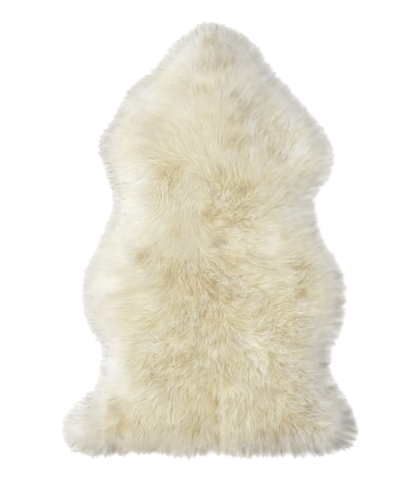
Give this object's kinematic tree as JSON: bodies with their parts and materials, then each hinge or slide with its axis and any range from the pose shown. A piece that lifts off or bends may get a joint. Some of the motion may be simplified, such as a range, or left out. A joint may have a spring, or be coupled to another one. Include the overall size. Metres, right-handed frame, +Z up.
{
  "type": "sheepskin rug",
  "caption": "Single natural sheepskin rug with long cream wool, a pointed neck, rounded shoulders and flanks, flared hind legs and a straight rump edge.",
  "frame": {"origin": "on the ground, under the middle of the rug's box", "axes": "+Y from the rump edge to the neck, +Z up through the wool, +X to the right seen from above"},
  "size_m": [0.642, 0.95, 0.0571],
  "materials": {
    "wool": "long, soft, slightly curled cream wool",
    "skin_side": "pale tanned suede"
  },
  "bodies": {
    "root": {"sheepskin": "wool"}
  },
  "joints": []
}
